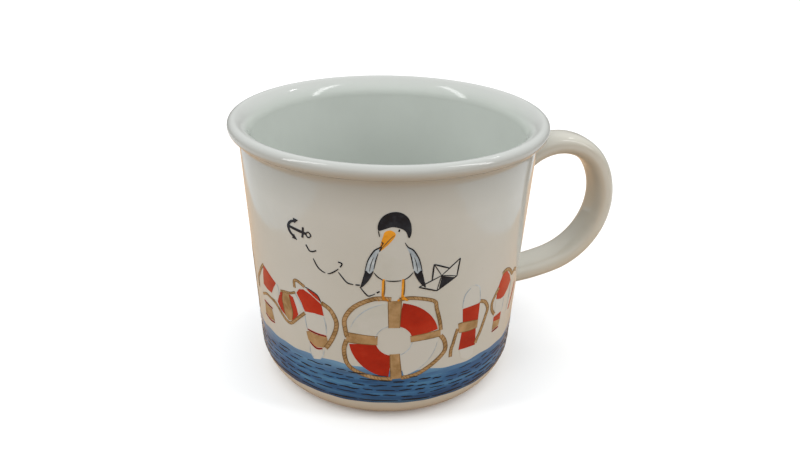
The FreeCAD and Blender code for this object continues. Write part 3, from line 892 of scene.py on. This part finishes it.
def tilted_ring(azimuth, drop=0):
    """A life ring seen from one side: the near limb, the short far limb and their ropes."""
    ring = Drawing(azimuth, drop)
    ring.fill("cream", (-4.5, 40.5), (-4.5, 42), (-3, 42.5), (-1.5, 41.5), (-2.5, 41), (-4, 39.5))
    ring.fill("red", (-4, 39), (-3, 40.5), (-1.5, 41), (1, 40), (4, 38), (4.5, 34.5),
              (1.5, 34.5), (-1.5, 34), (-2.5, 36.5))
    ring.fill("red", (-0.5, 41.5), (1, 41.5), (3, 40.5), (4, 38.5), (1.5, 40))
    ring.line("navy", 0.26, (-1, 42), (1, 41.5), (3, 40.5), (4, 38.5))
    ring.fill("cream", (-1.5, 34), (1.5, 34.5), (4.5, 34), (5, 31.5), (5, 28.5),
              (2, 28), (-1, 28.5))
    ring.line("grey", 0.3, (-1.5, 34), (-1.5, 31), (-1, 28.5))
    ring.line("grey", 0.3, (4.5, 34), (5, 31.5), (5, 29))
    ring.fill("tan", (-1.5, 27.5), (-0.5, 28), (2, 27.5), (5, 28), (5.5, 25.5), (4, 24),
              (2, 23.5), (0.5, 23.5), (-1, 25))
    ring.seam((-1, 28.5), (2, 28), (5, 28))
    ring.seam((-0.5, 24.5), (1.5, 23), (3.5, 23.5))
    ring.fill("cream", (-0.5, 23.5), (1.5, 23), (3.5, 23), (3.5, 21), (2.5, 19.5),
              (0.5, 19), (-0.5, 20.5))
    ring.line("grey", 0.28, (-0.5, 23), (-0.5, 21), (0.5, 19.5))
    ring.line("grey", 0.28, (4, 23), (3.5, 21), (2.5, 19.5))
    ring.rope(0.8, (-4.5, 40.5), (-4.5, 42.5), (-3.5, 43), (-1, 42))
    ring.rope(1.25, (4, 38.5), (6.5, 37), (8, 34), (8, 31.5), (7, 28.5),
              (5.5, 25.5), (4.5, 24))

    ring.fill("red", (-10.5, 37), (-9.5, 37), (-10, 34.5), (-9.5, 31), (-9, 29.5),
              (-11, 30.5), (-12.5, 32.5), (-11.5, 35))
    ring.fill("tan", (-9.5, 37), (-7, 37.5), (-6.5, 34.5), (-6, 32), (-6.5, 29), (-8, 28.5),
              (-9, 29.5), (-9.5, 31), (-10, 34.5))
    ring.fill("red", (-7, 37.5), (-5.5, 37), (-4.5, 34.5), (-4, 32), (-5, 30.5), (-6.5, 29),
              (-6, 32), (-6.5, 34.5))
    ring.fill("cream", (-5.5, 37.5), (-4.5, 38.5), (-3, 36.5), (-2, 34.5), (-4, 32.5), (-4.5, 34.5))
    ring.line("brown", 0.26, (-9.5, 37), (-10, 34.5), (-9.5, 31), (-9, 29.5))
    ring.line("brown", 0.26, (-7, 37), (-6.5, 34.5), (-6, 32), (-6.5, 29.5))
    ring.line("grey", 0.26, (-4.5, 38.5), (-3, 36.5), (-2, 34.5))
    ring.rope(0.6, (-10.5, 37), (-9, 37.5), (-6.5, 38), (-4.5, 39))
    ring.rope(0.9, (-15.5, 32), (-13.5, 31.5), (-11, 29.5), (-9, 28), (-7, 28),
              (-4, 31), (-1.5, 33.5))


def turned_ring(azimuth):
    """A life ring nearly turned away, with one strap and ropes outside."""
    ring = Drawing(azimuth)
    ring.fill("red", (-3.5, 41.5), (-1.5, 41.5), (1, 39), (2.5, 36.5), (1, 34.5), (-1, 33),
              (-3, 33), (-5.5, 34), (-5.5, 37.5))
    ring.fill("cream", (-5.5, 33.5), (-3, 33), (-1, 32.5), (-1.5, 28), (-5.5, 28.5))
    ring.line("grey", 0.26, (-1, 32.5), (-1, 30), (-1.5, 28))
    ring.fill("red", (-5.5, 28), (-1.5, 28), (-1.5, 25.5), (-5.5, 26.5))
    ring.fill("tan", (-5.5, 26.5), (-1.5, 25.5), (-2, 23.5), (-5.5, 23.5))
    ring.seam((-5.5, 23), (-3.5, 23), (-2, 23))
    ring.rope(0.95, (-5, 37.5), (-6.5, 35.5), (-7.5, 33.5), (-7, 31), (-5.5, 29))
    ring.rope(1, (-4, 41.5), (-2.5, 42), (-0.5, 41.5), (1.5, 40), (3, 38.5),
              (5, 39), (6.5, 38))
    ring.line("red", 1.1, (7.5, 33.5), (7, 31), (5.5, 28), (4.5, 25.5))
    ring.line("grey", 0.26, (3, 36), (3, 31.5), (2.5, 26))


def diamond_ring(azimuth):
    """A life ring cut short by its own turn: a red diamond over a slanting strap."""
    ring = Drawing(azimuth)
    ring.fill("red", (0.5, 41.5), (3, 40.5), (7, 38.5), (5.5, 36.5), (4, 34), (1.5, 34),
              (-1, 34.5), (-0.5, 38))
    ring.fill("cream", (7, 38.5), (8, 37), (7.5, 34.5), (6.5, 32.5), (4.5, 33.5), (6, 36))
    ring.line("grey", 0.26, (7.5, 38.5), (8, 37), (8.5, 35.5))
    ring.fill("tan", (-1.5, 28), (3, 28), (4, 24.5), (1, 24), (-2, 24.5))
    ring.seam((-2, 28.5), (1, 28.5), (3.5, 28.5))
    ring.seam((-2, 24), (1, 23.5), (4, 24))
    ring.rope(0.9, (-6, 31), (-5.5, 34.5), (-3.5, 37), (-1.5, 39.5), (0.5, 41.5))
    ring.rope(0.7, (-2.5, 30.5), (0.5, 32), (3, 32), (5.5, 32))


face_on_ring(-99.9, 0.5, 29)
tilted_ring(-132.5)
edge_on_ring(-68)
turned_ring(-45.5)
diamond_ring(-160)
face_on_ring(165, 0, 29.4, turn=-8)
tilted_ring(135, drop=0.4)
edge_on_ring(104)
face_on_ring(74, 0, 29.2, turn=6)
edge_on_ring(43, drop=-0.3)


def tern(azimuth):
    """A tern that stands on a ring: black crown, white face and breast, grey folded wings."""
    breast = [(-2.6, 59.2), (-3.2, 57.2), (-4.7, 54), (-5.2, 51.2), (-4.2, 48.9), (-1.6, 47.9),
              (1.6, 47.9), (4.2, 48.9), (5.2, 51.2), (4.7, 54), (3.2, 57.2), (3, 60.2), (3.4, 62.2),
              (0, 63.4), (-3.4, 62.2)]
    crown = [(-3.9, 61.9), (-4, 63.6), (-3, 65.6), (-1, 66.8), (1.2, 66.8), (3, 65.6),
             (3.9, 63.7), (4.1, 61.2), (3.5, 59.8), (2.7, 61.6), (1.4, 62.5), (-0.6, 62.9), (-2.4, 62.3)]
    wing = [(3, 57.6), (4.8, 56.1), (6.3, 53.4), (7, 50.2), (6.6, 48.4), (5.4, 49.4), (4.7, 51.8),
            (4.2, 54.6)]
    wing_tip = [(7, 50.4), (7.9, 47.2), (8.3, 45.2), (6.8, 46.7), (5.5, 48.9), (5, 50.6), (6, 49.6)]
    # ink lines of a wing: its outer edge, inner edge, a feather and the belly under it
    wing_ink = (
        ([(2.6, 58.6), (3.4, 57.3), (4.9, 56.2), (6.4, 53.4), (7.2, 50)], 0.36, 0.6, 0),
        ([(3.9, 55.6), (4.5, 53.4), (4.9, 51)], 0.3, 0.6, 0),
        ([(5, 54.4), (5.7, 52.2), (6, 50.2)], 0.2, 0.7, 0.004),
        ([(4.9, 50), (3.9, 48.8), (2.6, 47.9)], 0.3, 0.5, 0),
    )
    patch("cream", azimuth, breast, per=4)
    patch("navy", azimuth, crown, per=4)
    for side in (-1, 1):
        patch("grey", azimuth, [(x * side, z) for x, z in wing], per=4)
        patch("navy", azimuth, [(x * side, z) for x, z in wing_tip], per=3)
        for points, width, taper, rise in wing_ink:
            stroke("navy", azimuth, [(x * side, z) for x, z in points], width, taper, rise)
        leg = side * 2.5
        stroke("orange", azimuth, [(leg, 48.2), (leg, 45.2), (leg - 0.1, 42.8)], 0.75, 0.1)
        stroke("brown", azimuth, [(leg + 0.3, 47.8), (leg + 0.3, 45.2), (leg + 0.2, 43.4)], 0.36, 0.4)
        for spread in (-0.9, 0, 0.9):
            toe = [(leg, 43.1), (leg + spread * 0.7, 42.2), (leg + spread * 1.5, 41.7)]
            stroke("orange", azimuth, toe, 0.62, 0.4, rise=spread * 0.008)
    # the line of the face above and below the bill, the line between the legs, and the eye
    face_ink = (
        ([(-3.9, 61.8), (-3.6, 60.2)], 0.24, 0.5), ([(-3.1, 58.9), (-2.7, 58.2)], 0.28, 0.5),
        ([(-1.9, 47.75), (0, 47.6), (2, 47.75)], 0.3, 0.7), ([(0.9, 62), (1.3, 61.9)], 0.7, 0.3))
    for points, width, taper in face_ink:
        stroke("navy", azimuth, points, width, taper)
    bill = [(-2.3, 61.6), (-0.9, 62), (0.3, 61), (-0.4, 59.4), (-1.9, 57.6), (-3.6, 56.2),
            (-3.2, 58.6), (-2.8, 60.2)]
    patch("orange", azimuth, bill, per=3)
    stroke("brown", azimuth, [(0.1, 60.7), (-1.2, 59.4), (-3.4, 56.5)], 0.26, 0.5)
    stroke("navy", azimuth, [(-3, 57.4), (-3.6, 56.1)], 0.4, 0.5)


def paper_boat(azimuth, cx, cz, turn):
    """A folded paper boat: a hull with a fold down its middle, and a peak behind it."""
    at = placed(cx, cz, turn)
    stern, bow, keel_left, keel_right = (-6.4, 1), (6.4, 1), (-3.2, -3), (3.2, -3)
    fold, peak, peak_left, peak_right = (0, 0.2), (0, 4.4), (-2.6, 0.7), (2.6, 0.7)
    patch("cream", azimuth, at(stern, keel_left, keel_right, bow, fold))
    patch("cream", azimuth, at((-2.6, 0.6), peak, (2.6, 0.6), fold), rise=0.012)
    lines = (
        (stern, keel_left, 0.42), (keel_left, keel_right, 0.42), (keel_right, bow, 0.42),
        (stern, fold, 0.3), (fold, bow, 0.3), (peak_left, peak, 0.42), (peak, peak_right, 0.42),
        (peak, fold, 0.26), (keel_left, fold, 0.26), (keel_right, fold, 0.26))
    for i, (p, q, width) in enumerate(lines):
        middle = ((p[0] + q[0]) / 2, (p[1] + q[1]) / 2 + 0.05)
        stroke("navy", azimuth, at(p, middle, q), width, 0.35, rise=0.001 * i)
    patch("navy", azimuth, at((0, 0), (-2.4, -2.75), (2.4, -2.75)), rise=-0.01)


def anchor(azimuth, cx, cz, turn):
    """An anchor with two flukes, a stock and a ring."""
    at = placed(cx, cz, turn)
    stroke("navy", azimuth, at((0, -3), (0, 0), (0, 2.5)), 0.75, 0.1)
    arms = at((-2.4, -1.2), (-1.5, -2.7), (0, -3.4), (1.5, -2.7), (2.4, -1.2))
    stroke("navy", azimuth, arms, 0.75, 0.2, rise=0.006)
    for side in (-1, 1):
        fluke = at((side * 2.9, -0.3), (side * 3, -1.9), (side * 1.6, -1.4))
        patch("navy", azimuth, fluke, rise=0.012)
    stroke("navy", azimuth, at((-1.5, 1.3), (0, 1.4), (1.5, 1.3)), 0.6, 0.1, rise=0.006)
    loop = smooth_line(at((0, 2.3), (0.75, 3), (0, 3.8), (-0.75, 3)), 6, closed=True)
    films["navy"].strip(azimuth, loop, 0.34, LIFT["navy"] + 0.012, closed=True)


def flight_line(azimuth, points, dash=2.6):
    """A broken ink line, as a pen leaves it; dash is the length of its first stroke."""
    gap, width = 0.5, 0.36
    line = smooth_line(points, 12)
    part, gone, on = [line[0]], 0, True
    for a, b in zip(line, line[1:]):
        gone += math.dist(a, b)
        if on:
            part.append(b)
        if gone > (dash if on else gap):
            if on and len(part) > 2:
                films["navy"].strip(azimuth, part, width, LIFT["navy"], 0.5)
            on, gone, part = not on, 0, [b]
            dash = draw.uniform(1.8, 3.6)
    if on and len(part) > 2:
        films["navy"].strip(azimuth, part, width, LIFT["navy"])


tern(-99.9)
paper_boat(-82.4, 0, 48, 32)
anchor(-134.7, 0, 58.4, -98)
for pen_line in (
    [(-10, 55), (-9, 53.5), (-8, 53.5), (-7, 54)],
    [(-8, 51.5), (-6.5, 49), (-4, 48), (-1.5, 49.5), (0, 51.5), (-1, 52)],
    [(-1, 49), (1, 46.5), (2.5, 46), (4.5, 46)],
    [(4.5, 45.5), (6, 43.5), (7, 43), (9.5, 44.5)],
):
    flight_line(-118, pen_line, dash=5)
anchor(120, 0, 56, 80)
tern(74)
paper_boat(95, 0, 50, -12)
flight_line(135, [
    (-9.6, 52.5), (-6.1, 54.2), (-3.3, 52.9), (-2.4, 50.9), (0.7, 50.8), (3.2, 52.9), (6.6, 53.9)])

# the brown shading of the ropes stands for no node of its own
SLOTS = {
    "sea": "sea_blue", "cream": "print_cream", "red": "signal_red", "grey": "wing_grey",
    "tan": "rope_tan", "orange": "bill_orange", "brown": "rope_tan", "navy": "ink_navy",
}
for colour, film in films.items():
    node = None if colour == "brown" else f"{colour}_print"
    film.make(f"{node or 'rope_shading'}_film", node, SLOTS[colour], looks[colour])

for name in ("cup_body", "handle", "upper_slip", "lower_slip"):
    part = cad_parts[name]
    part.data.materials.clear()
    part.data.materials.append(clay_look)

# ---- floor, light and camera
CAMERA_TURN = -102.5  # degrees round the mug from the handle
CAMERA_PITCH, CAMERA_ROLL = 0.4595, 0.016
CAMERA_FAR, CAMERA_AIM = 0.2124, 0.04
LIGHT_FAR, LIGHT_AIM = 0.9, 0.045


def plain(name, colour, roughness):
    nodes = Nodes(name)
    cloud = nodes.noise(6.0, 2.0)
    shaded = nodes.blend(cloud, colour, tuple(c * 0.985 for c in colour))
    nodes.join(nodes.shader.inputs["Base Color"], shaded)
    nodes.shader.inputs["Roughness"].default_value = roughness
    return nodes.material


def sheet(name, half_x, half_y, z, material, hidden=False):
    """A flat rectangle under the mug, hidden from the camera if it is only for light and reflections."""
    mesh = bpy.data.meshes.new(name)
    corners = [(x * half_x, y * half_y, z) for x, y in ((-1, -1), (1, -1), (1, 1), (-1, 1))]
    mesh.from_pydata(corners, [], [(0, 1, 2, 3)])
    made = linked(name, mesh)
    mesh.materials.append(material)
    made.visible_camera = not hidden
    return made


# The floor that the camera sees is pale. Just under it lies what the mug's reflections see: a pale
# ground with a warm board across it.
floor = sheet("floor", 6, 6, 0.0, plain("pale_floor", (0.93, 0.93, 0.93), 0.9))
floor.visible_diffuse = floor.visible_glossy = floor.visible_shadow = False
sheet("ground", 0.34, 0.34, -0.0002, plain("pale_ground", (0.7, 0.7, 0.7), 0.9), hidden=True)
board = sheet("warm_board", 0.13, 0.9, -0.0001, plain("warm_board", srgb(198, 164, 128), 0.7), hidden=True)
board.rotation_euler = (0, 0, math.radians(CAMERA_TURN + 90))


def area_light(name, turn, height, size, power):
    """A soft light; turn is degrees round from the camera's side, height degrees above the floor."""
    light = bpy.data.lights.new(name, "AREA")
    light.shape = "RECTANGLE"
    light.size, light.size_y = size
    light.energy = power
    made = linked(name, light)
    a, e = math.radians(CAMERA_TURN + turn), math.radians(height)
    way = Vector((math.cos(a) * math.cos(e), math.sin(a) * math.cos(e), math.sin(e)))
    made.location = Vector((0, 0, LIGHT_AIM)) + way * LIGHT_FAR
    made.rotation_mode = "QUATERNION"
    made.rotation_quaternion = way.to_track_quat("Z", "Y")


area_light("left_window", -70, 38, (0.12, 0.8), 1.9)
area_light("right_window", 70, 38, (0.12, 0.8), 1.9)
area_light("back_lamp", 125, 50, (0.07, 0.07), 0.2)

world = bpy.data.worlds.new("studio")
world.use_nodes = True
tree = world.node_tree
backdrop = tree.nodes["Background"]
place = tree.nodes.new("ShaderNodeTexCoord")
split = tree.nodes.new("ShaderNodeSeparateXYZ")
sky = tree.nodes.new("ShaderNodeValToRGB")
sky.color_ramp.elements[0].color = (0.24, 0.23, 0.22, 1)
sky.color_ramp.elements[1].color = (1.38, 1.40, 1.41, 1)
sky.color_ramp.elements[1].position = 0.7
tree.links.new(place.outputs["Generated"], split.inputs[0])
tree.links.new(split.outputs["Z"], sky.inputs["Fac"])
# seen directly, the backdrop is as pale as the floor; the gradient is for light and reflections
seen = tree.nodes.new("ShaderNodeLightPath")
plain_or_sky = tree.nodes.new("ShaderNodeMix")
plain_or_sky.data_type = "RGBA"
plain_or_sky.inputs[7].default_value = (1, 1, 1, 1)
tree.links.new(seen.outputs["Is Camera Ray"], plain_or_sky.inputs["Factor"])
tree.links.new(sky.outputs["Color"], plain_or_sky.inputs[6])
tree.links.new(plain_or_sky.outputs[2], backdrop.inputs["Color"])
bpy.context.scene.world = world
bpy.context.scene.view_settings.view_transform = "Standard"

camera = linked("camera", bpy.data.cameras.new("camera"))
turn, level = math.radians(CAMERA_TURN), math.cos(CAMERA_PITCH)
away = Vector((level * math.cos(turn), level * math.sin(turn), math.sin(CAMERA_PITCH)))
camera.location = Vector((0, 0, CAMERA_AIM)) + away * CAMERA_FAR
camera.rotation_mode = "QUATERNION"
look = (-away).to_track_quat("-Z", "Y")
camera.rotation_quaternion = look @ Matrix.Rotation(CAMERA_ROLL, 3, "Z").to_quaternion()
camera.data.lens = 31.05
camera.data.shift_x = 0.0166
camera.data.shift_y = 0.01325
camera.data.clip_start = 0.01
bpy.context.scene.camera = camera
